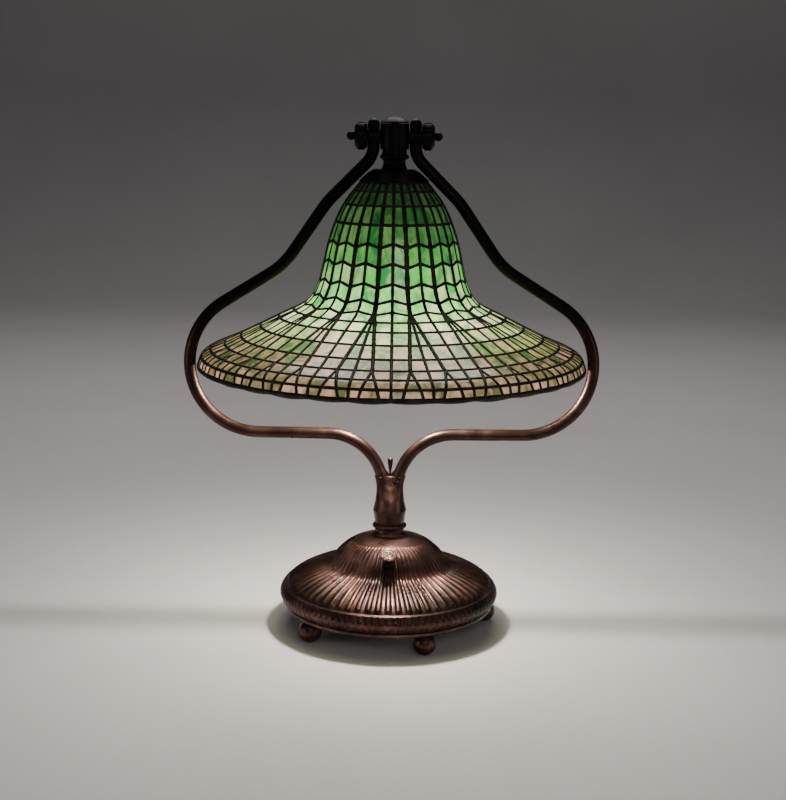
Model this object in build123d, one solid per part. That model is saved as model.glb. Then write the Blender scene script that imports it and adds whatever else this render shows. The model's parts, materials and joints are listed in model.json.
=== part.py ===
"""Harp table lamp with a hanging leaded-glass bell shade, in millimetres.

Frame: +Z up, origin on the standing surface under the stem's axis. The harp's two arms lie in the
XZ plane, and the switch knob faces -Y. Every piece of the lamp is written to parts/NODE.step.
"""
import math
import os

from build123d import *

# ---------------------------------------------------------------- driving sizes
SHADE_RADIUS = 208.0      # outermost edge of the shade's rim
SHADE_DROP = 85.8         # height of the flared skirt
BELL_RADIUS = 80.0        # waist, where the bell turns into the skirt
BELL_HEIGHT = 108.0       # crown edge to waist
CAP_RADIUS = 36.0         # shade cap's lower edge, where the glass starts
CAP_TOP_RADIUS = 21.5
CAP_RISE = 12.6
CAP_WALL = 1.4
GLASS = 3.0               # pane thickness
CAME_DEPTH = 4.6          # lead came, through the shade's wall
CAME_WIDTH = 3.0
GORES = 16

HARP_CLEARANCE = 3.2      # shade rim to the arms
ARM_RADIUS = 6.4
ARM_BORE = 3.0
ARM_FOOT_OFFSET = 7.6     # each arm's axis from the stem's axis, inside the trunk
EYE_OFFSET = 22.0         # each arm's upper end from the stem's axis
HARP_FLOOR_Z = 213.5      # axis of the arms' level stretch
WIRE_RADIUS = 2.9

BASE_RADIUS = 120.3
BASE_TOP_Z = 100.5
BASE_WALL = 3.0
FOOT_RADIUS = 12.3
FOOT_CENTRE_Z = 12.0
FOOT_CIRCLE = 107.0
FOOT_PHASE = 21.0         # degrees from -Y towards +X
FEET = 5
PLATE_THICKNESS = 2.0
LIP_HEIGHT = 4.0

PIPE_RADIUS = 5.1         # threaded lamp pipe
PIPE_BORE = 3.5
TRUNK_BULGE = 18.2
TRUNK_WAIST = 15.0
TRUNK_FOOT_Z = 114.5
TRUNK_TOP_Z = 147.0

PIVOT_Z = 532.6           # tilt axis of the shade's hub
PIVOT_RADIUS = 3.0
RUNNING = 0.06            # radial clearance of a turning fit
GAP = 0.4                 # flat clearance between pieces that move past each other
CAP_LEVEL_GAP = 33.9      # tilt axis down to the top of the shade's cap
BOSS_RADIUS = 8.5
THUMB_RADIUS = 14.7       # thumb knobs that clamp the tilt
THUMB_LENGTH = 21.6
FINIAL_RISE = 5.6

KNOB_SEAT_RADIUS = 53.5   # where the switch leaves the base's dome
KNOB_SEAT_Z = 84.8
KNOB_TILT = 52.0          # degrees above the horizontal
KNOB_RADIUS = 8.5
SWITCH_SHAFT = 2.5
CORD_BORE = 3.6
CORD_Z = 36.0

SOCKETS = 3
SOCKET_TILT = 12.0
SOCKET_RADIUS = 15.0
SOCKET_LENGTH = 42.0
SOCKET_CIRCLE = 22.0
BULB_RADIUS = 22.0
BULB_WALL = 1.0

# ---------------------------------------------------------------- sizes that follow
LIP_Z = FOOT_CENTRE_Z + 10.0
PLATE_TOP = LIP_Z + PLATE_THICKNESS
SHELL_Z = LIP_Z + LIP_HEIGHT
CAP_LEVEL = PIVOT_Z - CAP_LEVEL_GAP
CROWN_Z = CAP_LEVEL - CAP_RISE
WAIST_Z = CROWN_Z - BELL_HEIGHT
RIM_Z = WAIST_Z - SHADE_DROP
HARP_HALF = SHADE_RADIUS + HARP_CLEARANCE + ARM_RADIUS
GORE_ANGLE = 360 / GORES


# ---------------------------------------------------------------- shared helpers
def turned(*points):
    """Solid of revolution about Z from straight outline corners given as (radius, height)."""
    return revolve(Plane.XZ * make_face(Polyline(*points, close=True)), Axis.Z)


def turned_curve(profile, *closing):
    """Solid of revolution whose outside is a smooth line, closed by straight runs."""
    edges = [Spline(*profile), Polyline(profile[-1], *closing, profile[0])]
    return revolve(Plane.XZ * make_face(edges), Axis.Z)


def tube(outer, inner, low, high):
    return Pos(0, 0, low) * extrude(Circle(outer) - Circle(inner), high - low)


def rod(radius, low, high):
    return Pos(0, 0, low) * extrude(Circle(radius), high - low)


def cross_rod(radius, low, high, z):
    """Rod along X between two x values."""
    return Pos(low, 0, z) * (Rot(0, 90, 0) * extrude(Circle(radius), high - low))


def moved_line(points, distance):
    """The line's points moved along its left-hand normals, outwards for a line drawn downwards."""
    moved = []
    for i, (r, z) in enumerate(points):
        before, after = points[max(i - 1, 0)], points[min(i + 1, len(points) - 1)]
        dr, dz = after[0] - before[0], after[1] - before[1]
        size = math.hypot(dr, dz)
        moved.append((r - dz / size * distance, z + dr / size * distance))
    return moved


def wall_face(points, outside, inside):
    """Section of a thin wall that follows a line, between two distances from it."""
    a, b = moved_line(points, outside), moved_line(points, inside)
    b.reverse()
    edges = [Spline(*a), Line(a[-1], b[0]), Spline(*b), Line(b[-1], a[0])]
    return Plane.XZ * make_face(edges)


def around(piece, count, phase=0.0):
    """Copies of a piece, evenly spaced about the Z axis."""
    return [Rot(0, 0, phase + 360 / count * i) * piece for i in range(count)]


def group(pieces):
    """Separate solids as one node."""
    return Compound(children=[s for p in pieces for s in p.solids()])


# ---------------------------------------------------------------- base
# Share of the way out from the collar to the widest edge, and share of the height above the shell's foot.
DOME_SHAPE = [(0.0, 1.0), (0.11, 0.97), (0.25, 0.89), (0.37, 0.755), (0.47, 0.59), (0.585, 0.53),
              (0.72, 0.465), (0.86, 0.375), (0.955, 0.275), (1.0, 0.165), (0.98, 0.06), (0.935, 0.0)]
COLLAR_SEAT = 19.0


def dome_line():
    reach, rise = BASE_RADIUS - COLLAR_SEAT, BASE_TOP_Z - SHELL_Z
    return [(COLLAR_SEAT + a * reach, SHELL_Z + b * rise) for a, b in DOME_SHAPE]


LIP_OUTER = dome_line()[-1][0] + 1.0
LIP_INNER = LIP_OUTER - 4.5
KNOB_PLACE = Pos(0, -KNOB_SEAT_RADIUS, KNOB_SEAT_Z) * Rot(90 - KNOB_TILT, 0, 0)
CORD_PLACE = Pos(0, 0, CORD_Z) * Rot(-90, 0, 0)
BUSHING_RADIUS = CORD_BORE + 2.4
BUSHING_INNER_Y = BASE_RADIUS - 9.0


def base_shell():
    line = dome_line()
    inner = moved_line(line, -BASE_WALL)
    inner[0] = (COLLAR_SEAT, BASE_TOP_Z - BASE_WALL)
    inner[-1] = (inner[-1][0], SHELL_Z)
    inner.reverse()
    edges = [Spline(*line), Line(line[-1], inner[0]), Spline(*inner),
             Polyline(inner[-1], (PIPE_RADIUS, inner[-1][1]), (PIPE_RADIUS, BASE_TOP_Z), line[0])]
    shell = revolve(Plane.XZ * make_face(edges), Axis.Z)
    shell -= KNOB_PLACE * rod(BUSHING_OUTER, -15, 12)
    return shell - CORD_PLACE * rod(BUSHING_RADIUS, BASE_RADIUS - 25, BASE_RADIUS + 5)


def base_lip():
    """Rolled bead round the shell's foot."""
    return fillet(tube(LIP_OUTER, LIP_INNER, LIP_Z, SHELL_Z).edges().group_by(Axis.Z)[0], 1.2)


def base_plate():
    plate = tube(LIP_INNER, PIPE_RADIUS, LIP_Z, PLATE_TOP)
    for hole in around(Pos(0, -FOOT_CIRCLE, 0) * rod(FOOT_SCREW, 0, SHELL_Z + 5), FEET, FOOT_PHASE):
        plate -= hole
    return plate


FOOT_SCREW = 2.0
BALLAST_RADIUS = FOOT_CIRCLE - 9.0


def ballast():
    return tube(BALLAST_RADIUS, PIPE_RADIUS + 14, PLATE_TOP, PLATE_TOP + 11)


def ball_foot():
    ball = Pos(0, -FOOT_CIRCLE, FOOT_CENTRE_Z) * Sphere(FOOT_RADIUS)
    kept = Pos(0, -FOOT_CIRCLE, 0) * rod(FOOT_RADIUS + 1, 0, LIP_Z)
    return (ball & kept) - Pos(0, -FOOT_CIRCLE, 0) * rod(FOOT_SCREW, FOOT_CENTRE_Z - 4, LIP_Z + 1)


def foot_screw():
    shank = rod(FOOT_SCREW, FOOT_CENTRE_Z - 4, PLATE_TOP)
    head = rod(FOOT_SCREW * 1.5, PLATE_TOP, PLATE_TOP + 2.4)
    slot = Pos(0, 0, PLATE_TOP + 2.4) * Box(10, 0.8, 1.6)
    return Pos(0, -FOOT_CIRCLE, 0) * (shank + head - slot)


def hex_nut(across, bore, low, high):
    body = Pos(0, 0, low) * extrude(RegularPolygon(across / math.sqrt(3), 6), high - low)
    return body - rod(bore, low - 1, high + 1)


def cord_bushing():
    sleeve = tube(BUSHING_RADIUS, CORD_BORE, BUSHING_INNER_Y, BASE_RADIUS)
    flange = tube(BUSHING_RADIUS + 2, CORD_BORE, BASE_RADIUS + 0.1, BASE_RADIUS + 2.1)
    neck = tube(BUSHING_RADIUS, CORD_BORE, BASE_RADIUS, BASE_RADIUS + 0.1)
    return CORD_PLACE * (sleeve + neck + flange)


# ---------------------------------------------------------------- switch, drawn along its own axis
BUSHING_OUTER = 5.0
KNOB_FACE = 15.0          # knob's face above the dome


def switch_bushing():
    return KNOB_PLACE * tube(BUSHING_OUTER, SWITCH_SHAFT + RUNNING, -11, 2.5)


def switch_nut():
    return KNOB_PLACE * hex_nut(14, BUSHING_OUTER, -10, -7)


def switch_body():
    case = fillet((Pos(0, 0, -23) * Box(26, 22, 24)).edges().filter_by(Axis.Z), 3)
    return KNOB_PLACE * (case - rod(SWITCH_SHAFT + RUNNING, -24, -10))


def switch_shaft():
    return KNOB_PLACE * rod(SWITCH_SHAFT, -23, KNOB_FACE - 4)


def switch_knob():
    neck = 5.2
    outline = [(0, KNOB_FACE), (KNOB_RADIUS - 1, KNOB_FACE), (KNOB_RADIUS, KNOB_FACE - 1),
               (KNOB_RADIUS, KNOB_FACE - 2.6), (KNOB_RADIUS - 1, KNOB_FACE - 3.6), (neck, KNOB_FACE - 4.6),
               (neck - 0.6, KNOB_FACE - 7), (neck + 1.3, 3.4), (neck + 1.3, 2.9), (SWITCH_SHAFT, 2.9),
               (SWITCH_SHAFT, KNOB_FACE - 4), (0, KNOB_FACE - 4)]
    return KNOB_PLACE * turned(*outline)


# ---------------------------------------------------------------- stem
PIPE_LOW = LIP_Z - 8.0
PIPE_HIGH = TRUNK_FOOT_Z + 9.5
SOCKET_FLOOR = PIPE_HIGH + 2.0


def tie_pipe():
    return tube(PIPE_RADIUS, PIPE_BORE, PIPE_LOW, PIPE_HIGH)


def stem_collar():
    low, high = BASE_TOP_Z, TRUNK_FOOT_Z
    bead = high - 3.2
    edges = [
        Line((COLLAR_SEAT, low), (COLLAR_SEAT, low + 1.6)),
        ThreePointArc((COLLAR_SEAT, low + 1.6), (COLLAR_SEAT - 2.6, low + 4.2), (COLLAR_SEAT - 3.0, bead - 2.2)),
        ThreePointArc((COLLAR_SEAT - 3.0, bead - 2.2), (COLLAR_SEAT - 0.2, bead), (COLLAR_SEAT - 3.0, bead + 2.2)),
        Polyline((COLLAR_SEAT - 3.0, bead + 2.2), (COLLAR_SEAT - 3.0, high), (PIPE_RADIUS, high),
                 (PIPE_RADIUS, low), (COLLAR_SEAT, low)),
    ]
    return revolve(Plane.XZ * make_face(edges), Axis.Z)


def arm_path(side):
    """Axis of one harp arm, from its socket in the trunk up to its eye."""
    corners = [
        (ARM_FOOT_OFFSET, SOCKET_FLOOR),
        (ARM_FOOT_OFFSET, HARP_FLOOR_Z),
        (HARP_HALF, HARP_FLOOR_Z + 1.2),
        (HARP_HALF, WAIST_Z - 44.7),
        (BELL_RADIUS + 36, WAIST_Z + 18.5),
        (BELL_RADIUS - 10, WAIST_Z + 85.9),
        (EYE_OFFSET, PIVOT_Z - 20.6),
        (EYE_OFFSET, EYE_LOW_Z),
    ]
    radii = [62, 75, 78, 80, 95, 25]
    flat = FilletPolyline(*[(side * x, z) for x, z in corners], radius=radii)
    return Plane.XZ * flat


EYE_LOW_Z = PIVOT_Z - 9.6


def arm_solid(side, radius):
    path = arm_path(side)
    start = Plane(origin=(side * ARM_FOOT_OFFSET, 0, SOCKET_FLOOR), z_dir=(0, 0, 1))
    return sweep(start * Circle(radius), path=path)


def harp_arm(side):
    return arm_solid(side, ARM_RADIUS) - arm_solid(side, ARM_BORE)


def arm_wire(side):
    return arm_solid(side, WIRE_RADIUS)


def trunk():
    bulge_z = TRUNK_FOOT_Z + 14.5
    profile = [(COLLAR_SEAT - 3.0, TRUNK_FOOT_Z), (TRUNK_BULGE, bulge_z),
               (TRUNK_WAIST + 0.9, TRUNK_TOP_Z - 8), (TRUNK_WAIST, TRUNK_TOP_Z)]
    body = turned_curve(profile, (0, TRUNK_TOP_Z), (0, TRUNK_FOOT_Z))
    body -= rod(PIPE_RADIUS, TRUNK_FOOT_Z - 1, PIPE_HIGH)
    body -= rod(PIPE_BORE, PIPE_HIGH - 1, SOCKET_FLOOR + 3)
    for side in (-1, 1):
        body -= Pos(side * ARM_FOOT_OFFSET, 0, 0) * rod(ARM_RADIUS, SOCKET_FLOOR, TRUNK_TOP_Z + 1)
    return body


WEB_TOP_Z = TRUNK_TOP_Z + 34.0
BUD_Z = TRUNK_TOP_Z + 37.5
WEB_THICKNESS = 5.0


def crotch_web(arms):
    """Leaf-shaped web in the fork, cut to lie against both arms."""
    spread = ARM_RADIUS + 5.0
    outline = Polyline((-ARM_FOOT_OFFSET, TRUNK_TOP_Z), (ARM_FOOT_OFFSET, TRUNK_TOP_Z), (spread, WEB_TOP_Z),
                       (0, WEB_TOP_Z - 13), (-spread, WEB_TOP_Z), close=True)
    leaf = extrude(Plane.XZ * make_face(outline), WEB_THICKNESS / 2, both=True)
    return leaf - arms - bud_hole()


def bud_hole():
    return rod(1.0, WEB_TOP_Z - 16, WEB_TOP_Z)


def crotch_bud():
    foot = WEB_TOP_Z - 11
    cone = turned((0, foot), (0.9, foot), (3.0, BUD_Z - 1.6), (0, BUD_Z - 1.6))
    return rod(1.0, foot - 5, foot) + cone + Pos(0, 0, BUD_Z) * Sphere(3.1)


# ---------------------------------------------------------------- yoke at the top of the harp
EYE_FACE = ARM_RADIUS
WASHER = 0.5


def arm_eye(side):
    """Rounded end block of an arm, bored across for the pivot screw."""
    post = rod(ARM_RADIUS, EYE_LOW_Z, PIVOT_Z + 11.6) + Pos(0, 0, PIVOT_Z + 11.6) * Sphere(ARM_RADIUS)
    boss = cross_rod(BOSS_RADIUS, -EYE_FACE, EYE_FACE, PIVOT_Z)
    block = post + boss - cross_rod(PIVOT_RADIUS, -20, 20, PIVOT_Z)
    return Pos(side * EYE_OFFSET, 0, 0) * block


EYE_INNER = EYE_OFFSET - EYE_FACE
HUB_RADIUS = EYE_INNER - WASHER - 0.1


def pivot_washer():
    ring = cross_rod(BOSS_RADIUS, EYE_INNER - WASHER, EYE_INNER, PIVOT_Z)
    return ring - cross_rod(PIVOT_RADIUS, 0, 2 * EYE_INNER, PIVOT_Z)


THUMB_IN = EYE_OFFSET + EYE_FACE + 0.3
SCREW_TIP = THUMB_IN + 11.0


def pivot_screw():
    return cross_rod(PIVOT_RADIUS, 7.0, SCREW_TIP, PIVOT_Z)


def both_sides(piece):
    """A piece of the right-hand side with its mirror image."""
    return group([piece, mirror(piece, Plane.YZ)])


def clamp_knob(side):
    """Turned thumb knob, a fluted ring with a ball tip, drawn about Z and laid along X."""
    bore, tip = PIVOT_RADIUS + RUNNING, 4.8
    end = THUMB_LENGTH - 2 * tip + 1.5
    knob = turned((bore, 0), (THUMB_RADIUS - 3, 0), (THUMB_RADIUS, 3.2), (THUMB_RADIUS, 9.4),
                  (THUMB_RADIUS - 4.2, 13), (0, end), (0, SCREW_TIP - THUMB_IN + 0.4),
                  (bore, SCREW_TIP - THUMB_IN + 0.4))
    knob = fillet(knob.edges().filter_by(GeomType.CIRCLE).filter_by(lambda e: e.radius > THUMB_RADIUS - 3.5), 1.4)
    for flute in around(Pos(THUMB_RADIUS + 2.4, 0, -1) * extrude(Circle(3.4), THUMB_LENGTH), 8, 22.5):
        knob -= flute
    knob += Pos(0, 0, THUMB_LENGTH - tip) * Sphere(tip)
    laid = Pos(THUMB_IN, 0, PIVOT_Z) * (Rot(0, 90, 0) * knob)
    return laid if side > 0 else mirror(laid, Plane.YZ)


HUB_LOW_Z = PIVOT_Z - 13.6
HUB_HIGH_Z = PIVOT_Z + 13.0
STUD_RADIUS = 4.0


def hub_block():
    hub = rod(HUB_RADIUS, HUB_LOW_Z, HUB_HIGH_Z) - cross_rod(PIVOT_RADIUS + RUNNING, -20, 20, PIVOT_Z)
    hub -= rod(PIPE_RADIUS, HUB_LOW_Z - 1, HUB_LOW_Z + 9)
    return hub - rod(STUD_RADIUS + RUNNING, PIVOT_Z + PIVOT_RADIUS + 2, HUB_HIGH_Z + 1)


def finial_cap():
    """Shallow dome on a threaded stud."""
    low = HUB_HIGH_Z + GAP
    ball = (HUB_RADIUS ** 2 + FINIAL_RISE ** 2) / (2 * FINIAL_RISE)
    dome = Pos(0, 0, low + 1.2 + FINIAL_RISE - ball) * Sphere(ball)
    return (dome & rod(HUB_RADIUS, low, low + 20)) + rod(STUD_RADIUS, low - 7, low)


# ---------------------------------------------------------------- hanger under the hub
SLEEVE_LOW_Z = CAP_LEVEL + GAP
CLUSTER_TOP_Z = CROWN_Z - 20.0
CLUSTER_HEIGHT = 16.0
HANGER_LOW_Z = CLUSTER_TOP_Z - CLUSTER_HEIGHT + 4


def hanger_sleeve():
    """Turned neck between hub and shade, with one bead."""
    top, low = HUB_LOW_Z, SLEEVE_LOW_Z
    bead = low + 12.2
    edges = [
        ThreePointArc((14.0, low), (12.6, low + 2.2), (11.7, low + 5.4)),
        ThreePointArc((11.7, low + 5.4), (12.0, low + 8.0), (13.2, bead - 2.6)),
        ThreePointArc((13.2, bead - 2.6), (15.3, bead), (13.2, bead + 2.6)),
        Line((13.2, bead + 2.6), (12.6, top)),
        Polyline((12.6, top), (PIPE_RADIUS, top), (PIPE_RADIUS, low), (14.0, low)),
    ]
    return revolve(Plane.XZ * make_face(edges), Axis.Z)


def hanger_pipe():
    return tube(PIPE_RADIUS, PIPE_BORE, HANGER_LOW_Z, HUB_LOW_Z + 9)


def shade_rest_nut():
    top = CAP_LEVEL - CAP_WALL - GAP
    return turned((PIPE_RADIUS, top), (15, top), (15, top - 2), (9, top - 3.5), (9, top - 7), (PIPE_RADIUS, top - 7))


def socket_frame(index):
    """Place of a socket: its seat on the cluster, with +Z down its own axis and outwards."""
    tilt = Rot(0, 180 - SOCKET_TILT, 0)
    turn = Rot(0, 0, 360 / SOCKETS * index + 90)
    return turn * Pos(SOCKET_CIRCLE, 0, CLUSTER_TOP_Z - CLUSTER_HEIGHT) * tilt


def socket_cluster():
    low = CLUSTER_TOP_Z - CLUSTER_HEIGHT
    body = turned((PIPE_RADIUS, low + 4), (SOCKET_CIRCLE + 1, low + 4), (SOCKET_CIRCLE + 4, low + 8),
                  (SOCKET_CIRCLE - 6, low + 13), (PIPE_RADIUS + 4, CLUSTER_TOP_Z), (PIPE_RADIUS, CLUSTER_TOP_Z))
    under = turned((0, low + 1), (SOCKET_CIRCLE - 8, low + 1), (SOCKET_CIRCLE - 5, low + 4), (0, low + 4))
    arms = [socket_frame(i) * rod(5.0, -7, 0) for i in range(SOCKETS)]
    for stub in arms:
        body += stub
    return body + under - rod(PIPE_RADIUS, low + 4, CLUSTER_TOP_Z + 1)


def socket_shell(index):
    wall = 1.2
    outline = [(0, 0), (5.5, 0), (SOCKET_RADIUS - 3, 6), (SOCKET_RADIUS, 10), (SOCKET_RADIUS, SOCKET_LENGTH),
               (SOCKET_RADIUS + 0.8, SOCKET_LENGTH), (SOCKET_RADIUS + 0.8, SOCKET_LENGTH + 2),
               (SOCKET_RADIUS - wall, SOCKET_LENGTH + 2), (SOCKET_RADIUS - wall, 11), (0, 9)]
    return socket_frame(index) * turned(*outline)


def bulb_base(index):
    """Screw cap and its contact."""
    return socket_frame(index) * (rod(4.5, 13, 15) + rod(SCREW_CAP, 15, SOCKET_LENGTH - 2))


SCREW_CAP = 13.0


def bulb_glass(index):
    """Pear-shaped envelope, open where it is cemented into its cap."""
    neck = SOCKET_LENGTH - 2
    centre = neck + 38.0
    outer = [(SCREW_CAP, neck), (SCREW_CAP + 0.8, neck + 6), (BULB_RADIUS - 2.2, centre - 12),
             (BULB_RADIUS, centre), (BULB_RADIUS * 0.72, centre + BULB_RADIUS * 0.69), (0, centre + BULB_RADIUS)]
    inner = [(max(r - BULB_WALL, 0.0), z) for r, z in outer]
    inner[-2] = (inner[-2][0], inner[-2][1] - BULB_WALL * 0.7)
    inner[-1] = (0, outer[-1][1] - BULB_WALL)
    inner.reverse()
    # The outer line meets the axis at a right angle, so both splines leave the axis level.
    level, down = (-1, 0), (0, 1)
    edges = [Spline(*outer, tangents=[down, level]), Line(outer[-1], inner[0]),
             Spline(*inner, tangents=[(1, 0), (0, -1)]), Line(inner[-1], outer[0])]
    return socket_frame(index) * revolve(Plane.XZ * make_face(edges), Axis.Z)


# ---------------------------------------------------------------- shade
# Shares of the way from crown to waist, and from waist to rim, as (outwards, down).
BELL_SHAPE = [(0.0, 0.0), (0.409, 0.225), (0.705, 0.508), (0.909, 0.858), (1.0, 1.0)]
SKIRT_SHAPE = [(0.078, 0.199), (0.344, 0.415), (0.703, 0.682), (0.961, 0.867), (1.0, 1.0)]
RING_AT = [2, 4, 6, 7, 8]             # places on the shade's line where a lead ring divides the bands
BAND_NAMES = ["crown", "bell", "throat", "skirt_upper", "skirt_lower", "border"]
GLASS_INSET = 0.8                     # came face above the glass
RIM_HEIGHT = 3.0


def shade_line():
    """Outer face of the cames, from the cap's edge down to the rim."""
    bell = [(CAP_RADIUS + a * (BELL_RADIUS - CAP_RADIUS), CROWN_Z - b * BELL_HEIGHT) for a, b in BELL_SHAPE]
    reach = SHADE_RADIUS - BELL_RADIUS
    return bell + [(BELL_RADIUS + a * reach, WAIST_Z - b * SHADE_DROP) for a, b in SKIRT_SHAPE]


def ring_face(line, index, outside, inside):
    """Short section across the shade's wall, one came wide, at a point of its line."""
    before, after = line[index - 1], line[index + 1]
    dr, dz = after[0] - before[0], after[1] - before[1]
    size = math.hypot(dr, dz)
    along = (dr / size * CAME_WIDTH / 2, dz / size * CAME_WIDTH / 2)
    out = (-dz / size, dr / size)
    r, z = line[index]
    corners = [(r + out[0] * d + along[0] * s, z + out[1] * d + along[1] * s)
               for d, s in ((outside, -1), (outside, 1), (inside, 1), (inside, -1))]
    return Plane.XZ * make_face(Polyline(*corners, close=True))


def gore(face):
    """One gore's share of a turned section, with the ribs' room cut from both sides."""
    piece = Rot(0, 0, -GORE_ANGLE / 2) * revolve(face, Axis.Z, GORE_ANGLE)
    for side in (-1, 1):
        slab = Pos(SHADE_RADIUS, 0, CROWN_Z) * Box(2 * SHADE_RADIUS, CAME_WIDTH, 800)
        piece -= Rot(0, 0, side * GORE_ANGLE / 2) * slab
    return piece


def glass_gore(line):
    """The panes of one gore, from crown to border."""
    panes = gore(wall_face(line, -GLASS_INSET, -GLASS_INSET - GLASS))
    for index in RING_AT:
        panes -= revolve(ring_face(line, index, 4, -CAME_DEPTH - 4), Axis.Z)
    return sorted(panes.solids(), key=lambda s: -s.center().Z)


def came_rib(line):
    """One rib between two gores, the full height of the shade."""
    sweep_angle = 12.0
    piece = Rot(0, 0, -sweep_angle / 2) * revolve(wall_face(line, 0, -CAME_DEPTH), Axis.Z, sweep_angle)
    slab = Pos(SHADE_RADIUS, 0, CROWN_Z) * Box(2 * SHADE_RADIUS, CAME_WIDTH, 800)
    return Rot(0, 0, GORE_ANGLE / 2) * (piece & slab)


def rim_band():
    """Heavier lead edge that closes the shade's rim."""
    line = shade_line()
    r, z = line[-1]
    low = z - RIM_HEIGHT
    return turned((r, z), (r, low), (r - CAME_DEPTH, low), moved_line(line, -CAME_DEPTH)[-1])


def shade_cap():
    """Spun bronze cap that carries the glass and turns on the hanger pipe."""
    top, low = CAP_LEVEL, CROWN_Z
    bore = PIPE_RADIUS + RUNNING
    edge = CAP_RADIUS + 0.5
    return turned((bore, top), (CAP_TOP_RADIUS, top), (CAP_TOP_RADIUS + 6.5, top - 4.0), (edge, low + 0.8),
                  (edge, low), (CAP_RADIUS - 0.8, low), (CAP_TOP_RADIUS + 5.4, top - 4.0 - CAP_WALL),
                  (CAP_TOP_RADIUS - 0.6, top - CAP_WALL), (bore, top - CAP_WALL))


# ---------------------------------------------------------------- assembly
def build():
    nodes = {
        "base_shell": base_shell(),
        "base_lip": base_lip(),
        "base_plate": base_plate(),
        "ballast_weight": ballast(),
        "foot_screws": group(around(foot_screw(), FEET, FOOT_PHASE)),
        "cord_bushing": cord_bushing(),
        "switch_bushing": switch_bushing(),
        "switch_nut": switch_nut(),
        "switch_body": switch_body(),
        "switch_shaft": switch_shaft(),
        "switch_knob": switch_knob(),
        "tie_pipe": tie_pipe(),
        "stem_wire": rod(PIPE_BORE, PLATE_TOP + 20, PIPE_HIGH),
        "tie_washer": tube(PIPE_RADIUS + 7, PIPE_RADIUS, LIP_Z - 1.5, LIP_Z),
        "tie_nut": hex_nut(17, PIPE_RADIUS, LIP_Z - 6.5, LIP_Z - 1.5),
        "stem_collar": stem_collar(),
        "trunk": trunk(),
        "crotch_bud": crotch_bud(),
        "pivot_screws": both_sides(pivot_screw()),
        "pivot_washers": both_sides(pivot_washer()),
        "hub_block": hub_block(),
        "finial_cap": finial_cap(),
        "hanger_sleeve": hanger_sleeve(),
        "hanger_pipe": hanger_pipe(),
        "hanger_wire": rod(PIPE_BORE, HANGER_LOW_Z, HUB_LOW_Z + 9),
        "shade_rest_nut": shade_rest_nut(),
        "socket_cluster": socket_cluster(),
        "shade_cap": shade_cap(),
        "rim_band": rim_band(),
    }
    for i, foot in enumerate(around(ball_foot(), FEET, FOOT_PHASE)):
        nodes[f"ball_foot_{i + 1}"] = foot
    for side, name in ((-1, "left"), (1, "right")):
        nodes[f"harp_arm_{name}"] = harp_arm(side)
        nodes[f"arm_wire_{name}"] = arm_wire(side)
        nodes[f"arm_eye_{name}"] = arm_eye(side)
        nodes[f"clamp_knob_{name}"] = clamp_knob(side)
    nodes["crotch_web"] = crotch_web(arm_solid(-1, ARM_RADIUS) + arm_solid(1, ARM_RADIUS))
    for i in range(SOCKETS):
        nodes[f"socket_shell_{i + 1}"] = socket_shell(i)
        nodes[f"bulb_base_{i + 1}"] = bulb_base(i)
        nodes[f"bulb_glass_{i + 1}"] = bulb_glass(i)
    line = shade_line()
    for name, pane in zip(BAND_NAMES, glass_gore(line), strict=True):
        nodes[f"glass_{name}"] = group(around(pane, GORES))
    nodes["came_ribs"] = group(around(came_rib(line), GORES))
    rings = [gore(ring_face(line, index, 0, -CAME_DEPTH)) for index in RING_AT]
    nodes["came_rings"] = group([copy for ring in rings for copy in around(ring, GORES)])
    return nodes


def main():
    os.makedirs("parts", exist_ok=True)
    for name, shape in build().items():
        export_step(shape, f"parts/{name}.step")


main()
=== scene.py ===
"""Looks of the leaded-glass harp lamp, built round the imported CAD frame. Metres."""
import json
import math
import random

import bpy
import numpy as np
from mathutils import Matrix, Vector


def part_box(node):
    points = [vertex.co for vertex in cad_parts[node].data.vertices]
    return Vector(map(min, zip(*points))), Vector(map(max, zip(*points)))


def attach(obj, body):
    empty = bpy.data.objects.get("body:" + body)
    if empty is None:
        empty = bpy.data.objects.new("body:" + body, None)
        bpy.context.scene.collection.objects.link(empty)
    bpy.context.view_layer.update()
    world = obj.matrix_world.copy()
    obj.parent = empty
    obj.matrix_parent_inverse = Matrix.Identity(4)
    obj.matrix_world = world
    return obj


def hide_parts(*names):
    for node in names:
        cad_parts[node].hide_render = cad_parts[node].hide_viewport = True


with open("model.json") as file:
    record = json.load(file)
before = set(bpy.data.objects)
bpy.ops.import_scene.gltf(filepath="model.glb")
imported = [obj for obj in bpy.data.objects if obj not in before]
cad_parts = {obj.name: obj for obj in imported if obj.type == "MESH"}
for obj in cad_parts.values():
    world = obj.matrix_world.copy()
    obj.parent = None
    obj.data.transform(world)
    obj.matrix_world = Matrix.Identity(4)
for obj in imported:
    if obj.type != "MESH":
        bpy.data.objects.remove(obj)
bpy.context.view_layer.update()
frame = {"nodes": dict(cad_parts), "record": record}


MM = 0.001
random.seed(7)

# ---------------------------------------------------------------- places read from the frame
rim_low, rim_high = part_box("rim_band")
cap_low, cap_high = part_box("shade_cap")
shell_low, shell_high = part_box("base_shell")
RIM_R, RIM_Z = rim_high[0], rim_high[2]
CROWN_R, CROWN_Z = cap_high[0] - 0.5 * MM, cap_low[2]
BASE_R, SHELL_LOW, SHELL_TOP = shell_high[0], shell_low[2], shell_high[2]
WAIST_R, WAIST_DROP = 80 * MM, 108 * MM   # shade's waist, and how far it lies below the crown
COLLAR_R = 19 * MM
STEM_PIPE_R = 5.1 * MM
KNOB_FACE = 15 * MM       # knob's face above the dome, along its axis

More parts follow.
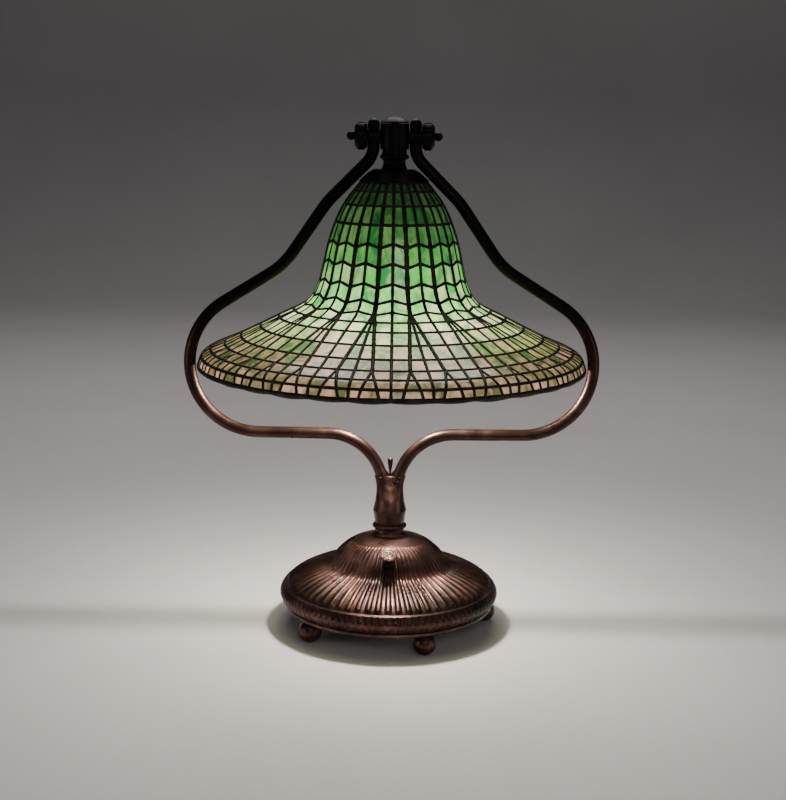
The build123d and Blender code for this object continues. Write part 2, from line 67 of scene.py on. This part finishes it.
# The same shares as the CAD's outlines: outwards and down from crown to waist, from waist to rim.
BELL_SHAPE = [(0.0, 0.0), (0.409, 0.225), (0.705, 0.508), (0.909, 0.858), (1.0, 1.0)]
SKIRT_SHAPE = [(0.078, 0.199), (0.344, 0.415), (0.703, 0.682), (0.961, 0.867), (1.0, 1.0)]
DOME_SHAPE = [(0.0, 1.0), (0.11, 0.97), (0.25, 0.89), (0.37, 0.755), (0.47, 0.59), (0.585, 0.53),
              (0.72, 0.465), (0.86, 0.375), (0.955, 0.275), (1.0, 0.165), (0.98, 0.06), (0.935, 0.0)]

GORES = 16
HALF = 180 / GORES
ROWS = [0.0, 0.04, 0.102, 0.178, 0.248, 0.321, 0.395, 0.455, 0.504, 0.563,
        0.626, 0.705, 0.789, 0.857, 0.915, 0.962, 1.0]
CHEVRON_ROWS = (0.24, 0.51)
CHEVRON_DROP = 0.017
WEDGE_TOP, WEDGE_OPEN, SPLIT = 0.504, 0.563, 0.857
PANE_DEPTHS = (0.9 * MM, 3.6 * MM)        # the glass's two faces, inside the shade's outer face


# ---------------------------------------------------------------- mesh helpers
def smooth_line(points, count):
    """Evenly spaced points on a smooth line through the given ones, as an array."""
    p = np.array(points, float)
    p = np.vstack([2 * p[0] - p[1], p, 2 * p[-1] - p[-2]])
    line = []
    for i in range(1, len(p) - 2):
        k = np.sqrt([np.linalg.norm(p[i + j + 1] - p[i + j]) for j in (-1, 0, 1)])
        m1 = (p[i + 1] - p[i]) + k[1] * ((p[i] - p[i - 1]) / k[0] - (p[i + 1] - p[i - 1]) / (k[0] + k[1]))
        m2 = (p[i + 1] - p[i]) + k[1] * ((p[i + 2] - p[i + 1]) / k[2] - (p[i + 2] - p[i]) / (k[1] + k[2]))
        for u in np.linspace(0, 1, 40, endpoint=False):
            h = (2 * u**3 - 3 * u**2 + 1, u**3 - 2 * u**2 + u, 3 * u**2 - 2 * u**3, u**3 - u**2)
            line.append(h[0] * p[i] + h[1] * m1 + h[2] * p[i + 1] + h[3] * m2)
    line = np.array(line + [p[-2]])
    run = np.concatenate([[0], np.cumsum(np.linalg.norm(np.diff(line, axis=0), axis=1))])
    at = np.linspace(0, run[-1], count)
    return np.stack([np.interp(at, run, line[:, 0]), np.interp(at, run, line[:, 1])], 1)


def new_mesh(name, verts, faces, material, smooth=True):
    mesh = bpy.data.meshes.new(name)
    mesh.from_pydata([tuple(v) for v in verts], [], faces)
    mesh.update()
    mesh.polygons.foreach_set("use_smooth", [smooth] * len(mesh.polygons))
    piece = bpy.data.objects.new(name, mesh)
    bpy.context.scene.collection.objects.link(piece)
    mesh.materials.append(material)
    return piece


# ---------------------------------------------------------------- material helpers
class Nodes:
    """A short way to write a node material."""

    def __init__(self, name):
        self.material = bpy.data.materials.new(name)
        self.material.use_nodes = True
        self.tree = self.material.node_tree
        self.shader = self.tree.nodes["Principled BSDF"]
        self.place = self.add("ShaderNodeTexCoord").outputs["Object"]

    def add(self, kind, **settings):
        node = self.tree.nodes.new(kind)
        for key, value in settings.items():
            setattr(node, key, value)
        return node

    def link(self, source, target):
        self.tree.links.new(source, target)

    def noise(self, scale, detail=4.0, stretch=(1, 1, 1), distortion=0.0):
        mapping = self.add("ShaderNodeMapping")
        mapping.inputs["Scale"].default_value = stretch
        self.link(self.place, mapping.inputs["Vector"])
        node = self.add("ShaderNodeTexNoise")
        node.inputs["Scale"].default_value = scale
        node.inputs["Detail"].default_value = detail
        node.inputs["Distortion"].default_value = distortion
        self.link(mapping.outputs[0], node.inputs["Vector"])
        return node.outputs["Fac"]

    def ramp(self, source, stops):
        node = self.add("ShaderNodeValToRGB")
        elements = node.color_ramp.elements
        while len(elements) < len(stops):
            elements.new(0.5)
        for element, (at, colour) in zip(elements, stops):
            element.position = at
            element.color = (*colour, 1)
        self.link(source, node.inputs["Fac"])
        return node.outputs["Color"]

    def grey(self, source, *stops):
        return self.ramp(source, [(at, (v, v, v)) for at, v in stops])

    def mix(self, factor, a, b, blend="MIX"):
        node = self.add("ShaderNodeMix", data_type="RGBA", blend_type=blend)
        for value, socket in ((factor, node.inputs[0]), (a, node.inputs[6]), (b, node.inputs[7])):
            if isinstance(value, (int, float)):
                socket.default_value = value
            elif isinstance(value, tuple):
                socket.default_value = (*value, 1)
            else:
                self.link(value, socket)
        return node.outputs[2]

    def bump(self, source, strength, distance):
        node = self.add("ShaderNodeBump")
        node.inputs["Strength"].default_value = strength
        node.inputs["Distance"].default_value = distance
        self.link(source, node.inputs["Height"])
        self.link(node.outputs[0], self.shader.inputs["Normal"])

    def set(self, **values):
        for key, value in values.items():
            socket = self.shader.inputs[key.replace("_", " ")]
            if isinstance(value, (int, float, tuple)):
                socket.default_value = value
            else:
                self.link(value, socket)


# ---------------------------------------------------------------- materials
# near-black for painted shade on the bronze's upper parts, the arms' tops and the crown, which the lamp below
# leaves unlit
PAINTED_SHADE_COLOUR = (0.006, 0.0045, 0.004)
# strength of the painted glow in the shade's glass
GLOW = 2.1


def patina(name, dark, warm, rub, rough=0.34, tint=(0.012, 0.022, 0.014), painted_shade_heights=(0.27, 0.37)):
    """Chemically browned bronze: mottled colour, rubbed patches, a green bloom, and painted shade that
    darkens it to near-black above a given height.
    """
    n = Nodes(name)
    body = n.ramp(n.noise(34, 6, distortion=0.6), [(0.3, dark), (0.55, warm), (0.78, rub)])
    bloom = n.grey(n.noise(13, 5), (0.52, 0), (0.75, 0.55))
    height = n.add("ShaderNodeSeparateXYZ")
    n.link(n.place, height.inputs[0])
    # painted shade: darker towards the top, by height
    painted_top_shade = n.grey(height.outputs["Z"], (painted_shade_heights[0], 0), (painted_shade_heights[1], 0.93))
    n.set(Base_Color=n.mix(painted_top_shade, n.mix(bloom, body, tint), PAINTED_SHADE_COLOUR), Metallic=0.86)
    n.set(Roughness=n.grey(n.noise(70, 5), (0.3, rough - 0.09), (0.75, rough + 0.14)))
    n.bump(n.noise(300, 4), 0.05, 0.0005)
    return n.material


def plain_metal(name, a, b, rough):
    n = Nodes(name)
    n.set(Base_Color=n.ramp(n.noise(55, 5), [(0.3, a), (0.7, b)]), Metallic=0.95)
    n.set(Roughness=n.grey(n.noise(120, 4), (0.3, rough - 0.06), (0.7, rough + 0.1)))
    n.bump(n.noise(500, 3), 0.08, 0.0004)
    return n.material


def came_material():
    """Patinated solder, lumpy and a little shiny on its bead."""
    n = Nodes("lead_came")
    n.set(Base_Color=n.ramp(n.noise(90, 5), [(0.35, (0.012, 0.01, 0.007)), (0.7, (0.045, 0.035, 0.024))]))
    n.set(Metallic=0.7, Roughness=n.grey(n.noise(160, 3), (0.3, 0.36), (0.7, 0.58)))
    n.bump(n.noise(260, 4), 0.5, 0.0008)
    return n.material


def glass_material():
    """Opalescent sheet glass, with painted light: it glows as if lit through by the bulbs behind it.

    The pane attribute holds two random shares and the height share.
    """
    n = Nodes("art_glass")
    pane = n.add("ShaderNodeAttribute", attribute_name="pane")
    split = n.add("ShaderNodeSeparateColor")
    n.link(pane.outputs["Color"], split.inputs[0])
    chance, warmth, height = split.outputs
    # Colours by height: the glass's own greens and creams with painted light in them, darkest at the crown
    # and brightest at mid height where the bulbs shine through.
    ground = n.ramp(height, [(0.0, (0.008, 0.04, 0.008)), (0.14, (0.03, 0.14, 0.016)),
                             (0.25, (0.04, 0.30, 0.03)), (0.38, (0.10, 0.60, 0.08)),
                             (0.48, (0.34, 0.88, 0.20)), (0.6, (0.72, 0.95, 0.36)),
                             (0.75, (0.42, 0.48, 0.14)), (0.88, (0.20, 0.18, 0.05)),
                             (1.0, (0.42, 0.28, 0.13))])
    deep = n.ramp(height, [(0.0, (0.001, 0.02, 0.006)), (0.3, (0.002, 0.14, 0.035)),
                           (0.5, (0.03, 0.45, 0.06)), (0.65, (0.08, 0.32, 0.05)),
                           (0.85, (0.05, 0.12, 0.02)), (1.0, (0.10, 0.11, 0.03))])
    cream = n.ramp(height, [(0.0, (0.05, 0.08, 0.02)), (0.3, (0.22, 0.50, 0.10)),
                            (0.55, (1.0, 0.88, 0.52)), (0.8, (0.78, 0.46, 0.26)),
                            (1.0, (0.80, 0.46, 0.30))])
    streak = n.noise(30, 7, (1, 1, 0.35), 2.2)
    mottle = n.noise(95, 5, (1, 1, 0.6), 0.8)
    colour = n.mix(n.grey(chance, (0.52, 0), (0.78, 0.85)), ground, deep)
    colour = n.mix(n.grey(warmth, (0.62, 0), (0.85, 0.8)), colour, cream)
    colour = n.mix(n.grey(streak, (0.40, 0), (0.60, 0.8)), colour, deep)
    colour = n.mix(n.grey(mottle, (0.47, 0), (0.66, 0.6)), colour, cream)
    n.set(Base_Color=n.mix(0.72, colour, (0.01, 0.02, 0.01)), Emission_Color=colour, Roughness=0.22)
    n.set(Coat_Weight=0.35, Coat_Roughness=0.12)
    # painted glow: emission strongest at mid height and weaker at crown and rim, in place of the bulbs' light
    # through the glass
    glow = n.add("ShaderNodeMath", operation="MULTIPLY")
    brightness = n.grey(height, (0.0, 0.12), (0.2, 0.38), (0.42, 0.9), (0.58, 1.0),
                        (0.75, 0.62), (0.88, 0.42), (1.0, 0.5))
    n.link(brightness, glow.inputs[0])
    glow.inputs[1].default_value = GLOW
    n.set(Emission_Strength=glow.outputs[0])
    n.bump(n.noise(150, 4, (1, 1, 0.5), 1.0), 0.35, 0.0006)
    return n.material


def bulb_material():
    n = Nodes("bulb_glass")
    n.set(Base_Color=n.ramp(n.noise(60), [(0.3, (0.85, 0.78, 0.62)), (0.7, (0.95, 0.9, 0.78))]))
    n.set(Roughness=0.35, Emission_Color=(1, 0.83, 0.58, 1))
    n.set(Emission_Strength=n.grey(n.noise(30), (0.3, 1), (0.7, 1)))
    return n.material


def dull(name, a, b, rough, scale=80):
    n = Nodes(name)
    n.set(Base_Color=n.ramp(n.noise(scale, 5), [(0.35, a), (0.7, b)]), Roughness=rough)
    n.bump(n.noise(scale * 5), 0.2, 0.0005)
    return n.material


BRONZE = patina("bronze", (0.022, 0.011, 0.010), (0.062, 0.028, 0.023), (0.155, 0.085, 0.070), 0.33)
# lighter bronze for the knob's spiral: rubbed wear, and a painted highlight
RUBBED_AND_HIGHLIT = patina("rubbed_and_highlit_bronze", (0.09, 0.055, 0.045), (0.24, 0.16, 0.13), (0.42, 0.32, 0.27), 0.28)
DARK = patina("dark_bronze", (0.008, 0.006, 0.005), (0.016, 0.011, 0.009), (0.035, 0.022, 0.018), 0.45)
BRASS = plain_metal("brass_fittings", (0.42, 0.28, 0.10), (0.62, 0.45, 0.2), 0.3)
LEAD = came_material()
GLASS = glass_material()
FINISHES = {
    "bronze": BRONZE, "dark_bronze": DARK, "brass_fittings": BRASS, "lead_came": LEAD, "art_glass": GLASS,
    "bulb_glass": bulb_material(),
    "moulding": dull("moulding", (0.012, 0.01, 0.009), (0.03, 0.025, 0.022), 0.35),
    "wire_cover": dull("wire_cover", (0.10, 0.07, 0.03), (0.22, 0.16, 0.08), 0.8, 300),
    "steel_plate": dull("steel_plate", (0.03, 0.024, 0.02), (0.06, 0.048, 0.04), 0.55),
    "ballast_iron": dull("ballast_iron", (0.04, 0.04, 0.04), (0.09, 0.085, 0.08), 0.7),
}


def dress_nodes():
    for entry in frame["record"]["subparts"]:
        mesh = frame["nodes"][entry["node"]].data
        mesh.materials.clear()
        mesh.materials.append(FINISHES[entry["material_slot"]])


# ---------------------------------------------------------------- shade
def shade_points():
    bell = [(CROWN_R + a * (WAIST_R - CROWN_R), CROWN_Z - b * WAIST_DROP) for a, b in BELL_SHAPE]
    waist_z = CROWN_Z - WAIST_DROP
    return bell + [(WAIST_R + a * (RIM_R - WAIST_R), waist_z - b * (waist_z - RIM_Z)) for a, b in SKIRT_SHAPE]


SHADE = smooth_line(shade_points(), 400)
SHADE_SLOPE = np.gradient(SHADE, axis=0)
SHADE_SLOPE /= np.linalg.norm(SHADE_SLOPE, axis=1)[:, None]


def on_shade(degrees, share, depth=0.0):
    """Point on the shade, a depth inside its outer face; 0 degrees faces -Y."""
    at = min(max(share, 0.0), 1.0) * (len(SHADE) - 1)
    i = min(int(at), len(SHADE) - 2)
    r, z = SHADE[i] + (SHADE[i + 1] - SHADE[i]) * (at - i)
    dr, dz = SHADE_SLOPE[i]
    r, z = r + dz * depth, z - dr * depth
    a = math.radians(degrees)
    return Vector((r * math.sin(a), -r * math.cos(a), z))


def wedge_angle(share):
    """Half-angle of a gore's own panes once the filler wedges open beside it."""
    return float(np.interp(share, [WEDGE_TOP, WEDGE_OPEN, 0.705, 0.789, SPLIT], [HALF, 9.3, 7.15, 6.3, 5.8]))


def fork_angles(share):
    """The inner and outer lines that the wedge line splits into near the rim."""
    return [float(np.interp(share, [SPLIT, 1.0], [5.8, end])) for end in (3.0, 8.6)]


def column_angles(share, row_top):
    """Lines that divide a row of one gore, as angles from its centre line."""
    if row_top < WEDGE_OPEN - 0.001:
        side = [wedge_angle(share)]
    elif row_top < SPLIT - 0.001:
        side = [wedge_angle(share), HALF]
    else:
        side = [*fork_angles(share), HALF]
    return [-a for a in reversed(side)] + [0.0] + side


def row_share(share, degrees):
    """A row line's place at an angle: some rows fall away from the gore's centre like a roof."""
    off = abs((degrees + HALF) % (2 * HALF) - HALF) / HALF
    fall = CHEVRON_DROP if CHEVRON_ROWS[0] < share < CHEVRON_ROWS[1] else 0.0
    return share + fall * off


def build_panes():
    verts, faces, tints = [], [], []
    nu, nv = 2, 3
    for gore in range(GORES):
        for top, low in zip(ROWS, ROWS[1:]):
            tops, lows = column_angles(top, top), column_angles(low, top)
            for k in range(len(tops) - 1):
                tint = (random.random(), random.random(), (top + low) / 2, 1.0)
                start = len(verts)
                for depth in PANE_DEPTHS:
                    for j in range(nv + 1):
                        v = j / nv
                        for i in range(nu + 1):
                            u = i / nu
                            a = tops[k] + (tops[k + 1] - tops[k]) * u
                            b = lows[k] + (lows[k + 1] - lows[k]) * u
                            t = row_share(top, a) * (1 - v) + row_share(low, b) * v
                            verts.append(on_shade(gore * 2 * HALF + a + (b - a) * v, t, depth))
                faces += pane_faces(start, nu, nv)
                tints += [tint] * (len(verts) - start)
    panes = new_mesh("glass_panes", verts, faces, GLASS, smooth=False)
    layer = panes.data.color_attributes.new("pane", "FLOAT_COLOR", "POINT")
    layer.data.foreach_set("color", [c for tint in tints for c in tint])
    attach(panes, "shade")
    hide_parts(*[n for n in frame["nodes"] if n.startswith("glass_")])


def pane_faces(start, nu, nv):
    """Faces of one closed curved pane: outer grid, inner grid and the edge round them."""
    wide = nu + 1
    layer = wide * (nv + 1)
    faces = []
    for j in range(nv):
        for i in range(nu):
            a = start + j * wide + i
            faces.append((a, a + wide, a + wide + 1, a + 1))
            faces.append(tuple(v + layer for v in (a, a + 1, a + wide + 1, a + wide)))
    edge = list(range(wide)) + [j * wide + nu for j in range(1, nv + 1)]
    edge += [nv * wide + i for i in range(nu - 1, -1, -1)] + [j * wide for j in range(nv - 1, 0, -1)]
    for a, b in zip(edge, edge[1:] + edge[:1]):
        faces.append((start + a, start + b, start + b + layer, start + a + layer))
    return faces


THIN = 1.75               # half-width of a thin came, in millimetres
# Section of a came: shares of its half-width, and depth below the shade's outer face in millimetres.
CAME_SECTION = [(-1, 1.1), (-0.75, 0.4), (0, 0.0), (0.75, 0.4), (1, 1.1),
                (1, 3.5), (0.7, 4.3), (-0.7, 4.3), (-1, 3.5)]


def add_came(verts, faces, path, widths, closed=False):
    """One lead line along (angle, share) points, with its half-width in millimetres at each."""
    start, ring = len(verts), len(CAME_SECTION)
    points = [on_shade(a, t) for a, t in path]
    count = len(path)
    for i, (a, t) in enumerate(path):
        before = points[i - 1] if i or closed else points[0]
        after = points[(i + 1) % count] if i < count - 1 or closed else points[-1]
        inward = (on_shade(a, t, 1 * MM) - points[i]).normalized()
        side = (after - before).normalized().cross(inward)
        lump = 1 + random.uniform(-0.12, 0.12)
        for across, depth in CAME_SECTION:
            verts.append(points[i] + side * across * widths[i] * MM * lump + inward * depth * MM)
    for i in range(count if closed else count - 1):
        here = start + i * ring
        ahead = start + (i + 1) % count * ring
        for k in range(ring):
            m = (k + 1) % ring
            faces.append((here + k, ahead + k, ahead + m, here + m))
    if not closed:
        faces.append(tuple(start + k for k in range(ring)))
        faces.append(tuple(start + (count - 1) * ring + k for k in reversed(range(ring))))


def build_cames():
    verts, faces = [], []

    def down(angle_at, first, last, width_at):
        shares = np.linspace(first, last, max(6, int((last - first) * 90)))
        add_came(verts, faces, [(angle_at(t), t) for t in shares], [width_at(t) for t in shares])

    for gore in range(GORES):
        middle = gore * 2 * HALF
        down(lambda t: middle, 0, 1, lambda t: THIN)
        down(lambda t: middle + HALF, 0, WEDGE_OPEN + 0.012,
             lambda t: float(np.interp(t, [0, 0.2, WEDGE_TOP, WEDGE_OPEN], [1.9, 2.5, 2.8, 4.3])))
        down(lambda t: middle + HALF, WEDGE_OPEN, 1, lambda t: THIN)
        for side in (-1, 1):
            down(lambda t: middle + side * wedge_angle(t), WEDGE_TOP, SPLIT, lambda t: 2.2)
            for which in (0, 1):
                down(lambda t: middle + side * fork_angles(t)[which], SPLIT, 1, lambda t: THIN)
    for row in ROWS:
        edge = row in (ROWS[0], ROWS[-1])
        turns = np.arange(GORES * 12) * 360 / (GORES * 12)
        path = [(a, row_share(row, a)) for a in turns]
        add_came(verts, faces, path, [2.4 if edge else THIN] * len(path), closed=True)
    cames = new_mesh("lead_lines", verts, faces, LEAD)
    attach(cames, "shade")
    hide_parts("came_ribs", "came_rings")


# Solder bead along the rim, in millimetres. A wave adds its swell to the radius and its sag to the drop.
RIM_RADIUS, RIM_SWELL = 2.2, 0.5
RIM_DROP, RIM_SAG = 1.0, 1.4
RIM_INSET = 2.4


def build_rim():
    """The heavy bead of solder along the rim, wavy where the panes meet it."""
    rng = random.Random(11)
    count, ring = GORES * 24, 10
    waves = [rng.uniform(0.2, 1.0) for _ in range(GORES * 2)]
    verts, faces = [], []
    for i in range(count):
        a = 2 * math.pi * i / count
        wave = waves[int(i / count * len(waves))] * math.sin(math.pi * (i / count * len(waves) % 1))
        drop = RIM_Z - (RIM_DROP + RIM_SAG * wave) * MM
        size = (RIM_RADIUS + RIM_SWELL * wave) * MM
        for k in range(ring):
            b = 2 * math.pi * k / ring
            r = RIM_R - RIM_INSET * MM + size * 0.85 * math.cos(b)
            verts.append((r * math.sin(a), -r * math.cos(a), drop + size * math.sin(b)))
    for i in range(count):
        j = (i + 1) % count
        for k in range(ring):
            m = (k + 1) % ring
            faces.append((i * ring + k, j * ring + k, j * ring + m, i * ring + m))
    rim = new_mesh("rim_lead", verts, faces, LEAD)
    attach(rim, "shade")
    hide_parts("rim_band")


# ---------------------------------------------------------------- base
# Ribs round the dome and small lobes round its foot; depths and the wall are in millimetres.
RIBS = 64
GADROONS = 96
RIB_DEPTH = 2.7
BAND_DEPTH = 1.8
LOW_RIB_DEPTH = 1.3
BASE_WALL = 3.0
INNER_STEP = 6            # the plain inner skin uses every sixth ring of the outer one


def rib_height(turn):
    """Share of full height across one period: a wide round rib with a thin one in the groove."""
    x = abs((turn + 0.5) % 1 - 0.5)
    wide = math.sqrt(max(0.0, 1 - (x / 0.36) ** 2))
    thin = 0.5 * math.sqrt(max(0.0, 1 - ((x - 0.5) / 0.10) ** 2))
    return max(wide, thin)


def ease(x, low, high):
    u = min(max((x - low) / (high - low), 0.0), 1.0)
    return u * u * (3 - 2 * u)


def rib_cut(share, turn):
    """How far the surface lies below the plain dome, in millimetres."""
    upper = ease(share, 0.13, 0.20) * (1 - ease(share, 0.775, 0.80))
    band = ease(share, 0.775, 0.80) * (1 - ease(share, 0.81, 0.83))
    lower = ease(share, 0.82, 0.85) * (1 - ease(share, 0.95, 0.98))
    cut = upper * RIB_DEPTH * (1 - rib_height(turn * RIBS)) + band * BAND_DEPTH
    return cut + lower * LOW_RIB_DEPTH * (1 - math.sqrt(abs(math.cos(math.pi * turn * GADROONS))))


def build_base():
    """The ribbed shell: outer skin, plain inner skin, joined at the top bore and the foot."""
    wide, tall = BASE_R - COLLAR_R, SHELL_TOP - SHELL_LOW
    outline = [(COLLAR_R + a * wide, SHELL_LOW + b * tall) for a, b in DOME_SHAPE]
    steps, turns = 130, RIBS * 12
    line = smooth_line(outline, steps)
    slope = np.gradient(line, axis=0)
    slope /= np.linalg.norm(slope, axis=1)[:, None]
    verts, faces = [], []

    def add_ring(r, z, cuts=None, out=(0.0, 0.0)):
        for k in range(turns):
            a = 2 * math.pi * k / turns
            cut = cuts[k] * MM if cuts else 0.0
            reach = r - out[0] * cut
            verts.append((reach * math.sin(a), -reach * math.cos(a), z - out[1] * cut))

    add_ring(STEM_PIPE_R, SHELL_TOP)
    for i, (r, z) in enumerate(line):
        out = (-slope[i][1], slope[i][0])
        add_ring(r, z, [rib_cut(i / (steps - 1), k / turns) for k in range(turns)], out)
    for i in range(steps - 1, -1, -INNER_STEP):
        add_ring(line[i][0] + slope[i][1] * BASE_WALL * MM, line[i][1] - slope[i][0] * BASE_WALL * MM)
    add_ring(STEM_PIPE_R, SHELL_TOP - BASE_WALL * MM)
    rings = len(verts) // turns
    for i in range(rings):
        j = (i + 1) % rings
        for k in range(turns):
            m = (k + 1) % turns
            faces.append((i * turns + k, j * turns + k, j * turns + m, i * turns + m))
    shell = new_mesh("ribbed_shell", verts, faces, BRONZE)
    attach(shell, "stand")
    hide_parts("base_shell")


# Fork, in millimetres: (reach, height) along the trunk's side and along one arm's centre line.
FORK_LOW, FORK_TOP = 114.5, 167.0
TRUNK_LINE = [(16.0, FORK_LOW), (18.2, 129.0), (15.9, 139.0), (15.4, 147.0)]
ARM_AXIS = [(7.6, FORK_LOW), (7.6, 152.0), (8.6, 160.0), (11.0, 170.0), (15.3, 179.0)]
ARM_R = 6.9


def fork_reach(turn, z):
    """Outline of the trunk as it divides into the arms: distance from the axis, in millimetres."""
    axis = float(np.interp(z, [p[1] for p in ARM_AXIS], [p[0] for p in ARM_AXIS]))
    stem = float(np.interp(z, [p[1] for p in TRUNK_LINE], [p[0] for p in TRUNK_LINE]))
    rise, run = abs(math.sin(turn)), abs(math.cos(turn))
    inside = ARM_R**2 - (axis * rise) ** 2
    arm = axis * run + math.sqrt(inside) if inside > 0 else 0.0
    web = float(np.interp(z, [140, 150, 165, FORK_TOP], [13.0, 8.5, 3.6, 2.6]))
    arms = max(arm, min(web / max(rise, 0.02), axis))
    blend = ease(z, 138.0, 160.0)
    return stem * (1 - blend) + arms * blend


def build_fork():
    """The trunk, drawn out into the two arms, with a web between them."""
    turns, levels = 96, 60
    verts, faces = [], []
    for i in range(levels):
        z = FORK_LOW + (FORK_TOP - FORK_LOW) * i / (levels - 1)
        raw = np.array([fork_reach(2 * math.pi * k / turns, z) for k in range(turns)])
        soft = sum(np.roll(raw, j) for j in (-2, -1, 0, 1, 2)) / 5
        for k in range(turns):
            a = 2 * math.pi * k / turns
            verts.append((soft[k] * math.cos(a) * MM, soft[k] * math.sin(a) * MM, z * MM))
    for i in range(levels - 1):
        for k in range(turns):
            m = (k + 1) % turns
            faces.append((i * turns + k, i * turns + m, (i + 1) * turns + m, (i + 1) * turns + k))
    faces.append(tuple(reversed(range(turns))))
    faces.append(tuple((levels - 1) * turns + k for k in range(turns)))
    fork = new_mesh("fork_casting", verts, faces, BRONZE)
    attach(fork, "stand")
    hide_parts("trunk")


def build_knob_spiral():
    """Coiled wire soldered on the knob's face."""
    joint = next(j for j in frame["record"]["behaviour"]["joints"] if j["name"] == "switch_turn")
    axis, seat = Vector(joint["axis"]).normalized(), Vector(joint["pos_m"])
    across = Vector((1, 0, 0))
    up = axis.cross(across)
    wire, coils, steps, ring = 0.95 * MM, 2.6, 120, 10
    inner, spread = 0.9, 6.6
    face = seat + axis * KNOB_FACE
    verts, faces = [], []
    for i in range(steps):
        u = i / (steps - 1)
        turn = 2 * math.pi * coils * u
        reach = (inner + spread * u) * MM
        ray = across * math.cos(turn) + up * math.sin(turn)
        size = wire * (0.75 + 0.25 * u)
        for k in range(ring):
            b = 2 * math.pi * k / ring
            verts.append(face + ray * (reach + size * math.cos(b)) + axis * size * math.sin(b))
    for i in range(steps - 1):
        for k in range(ring):
            m = (k + 1) % ring
            faces.append((i * ring + k, i * ring + m, (i + 1) * ring + m, (i + 1) * ring + k))
    faces.append(tuple(reversed(range(ring))))
    faces.append(tuple((steps - 1) * ring + k for k in range(ring)))
    # the spiral is in the lighter bronze: rubbed wear and a painted highlight
    coil = new_mesh("knob_spiral", verts, faces, RUBBED_AND_HIGHLIT)
    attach(coil, "switch")


# ---------------------------------------------------------------- stage, lights, camera
def build_stage():
    n = Nodes("paper")
    paper = n.ramp(n.noise(2.5, 2), [(0.3, (0.60, 0.57, 0.56)), (0.7, (0.64, 0.61, 0.60))])
    n.set(Base_Color=paper, Roughness=0.9)
    side, front, back, bend, top, steps = 6.0, -4.0, 2.6, 1.2, 5.0, 16
    profile = [(front, 0.0), (back, 0.0)]
    for i in range(1, steps + 1):
        a = math.pi / 2 * i / steps
        profile.append((back + bend * math.sin(a), bend * (1 - math.cos(a))))
    profile.append((back + bend, top))
    verts = [(x, y, z) for y, z in profile for x in (-side, side)]
    faces = [(2 * i, 2 * i + 1, 2 * i + 3, 2 * i + 2) for i in range(len(profile) - 1)]
    new_mesh("sweep", verts, faces, n.material)


def add_light(name, kind, place, aim, energy, colour=(1, 1, 1), **settings):
    data = bpy.data.lights.new(name, kind)
    data.energy = energy
    data.color = colour
    for key, value in settings.items():
        setattr(data, key, value)
    light = bpy.data.objects.new(name, data)
    light.location = place
    light.rotation_euler = (Vector(aim) - Vector(place)).to_track_quat("-Z", "Y").to_euler()
    bpy.context.scene.collection.objects.link(light)


def build_lights():
    world = bpy.data.worlds.new("studio")
    world.use_nodes = True
    world.node_tree.nodes["Background"].inputs[0].default_value = (0.9, 0.95, 1.0, 1)
    world.node_tree.nodes["Background"].inputs[1].default_value = 0.07
    bpy.context.scene.world = world
    add_light("lamp_glow", "POINT", (0, 0, 0.325), (0, 0, 0), 9.5, (1, 0.92, 0.89), shadow_soft_size=0.02)
    add_light("floor_wash", "AREA", (0, 1.3, 2.3), (0, -0.3, 0), 26, (1, 0.97, 0.96), size=1.5)
    add_light("front_low", "AREA", (0.3, -1.9, 1.1), (0, 0, 0.05), 4, (1, 0.93, 0.9), size=0.6)
    for side in (-1, 1):
        add_light(f"side_{side + 2}", "AREA", (side * 1.5, -0.7, 0.25), (0, 0, 0.1), 3, size=0.7)


CAMERA_PLACE = (0.002, -1.467, 0.544)
CAMERA_DOWN, CAMERA_ROLL = 11.27, 0.8     # degrees
LENS, SENSOR = 62.1, 36.0                 # millimetres


def build_camera():
    data = bpy.data.cameras.new("camera")
    data.lens, data.sensor_width = LENS, SENSOR
    camera = bpy.data.objects.new("camera", data)
    pitch = Matrix.Rotation(math.radians(90 - CAMERA_DOWN), 4, "X")
    roll = Matrix.Rotation(math.radians(CAMERA_ROLL), 4, "Z")
    camera.matrix_world = Matrix.Translation(CAMERA_PLACE) @ pitch @ roll
    bpy.context.scene.collection.objects.link(camera)
    bpy.context.scene.camera = camera


dress_nodes()
build_panes()
build_cames()
build_rim()
build_base()
build_fork()
build_knob_spiral()
build_stage()
build_lights()
build_camera()
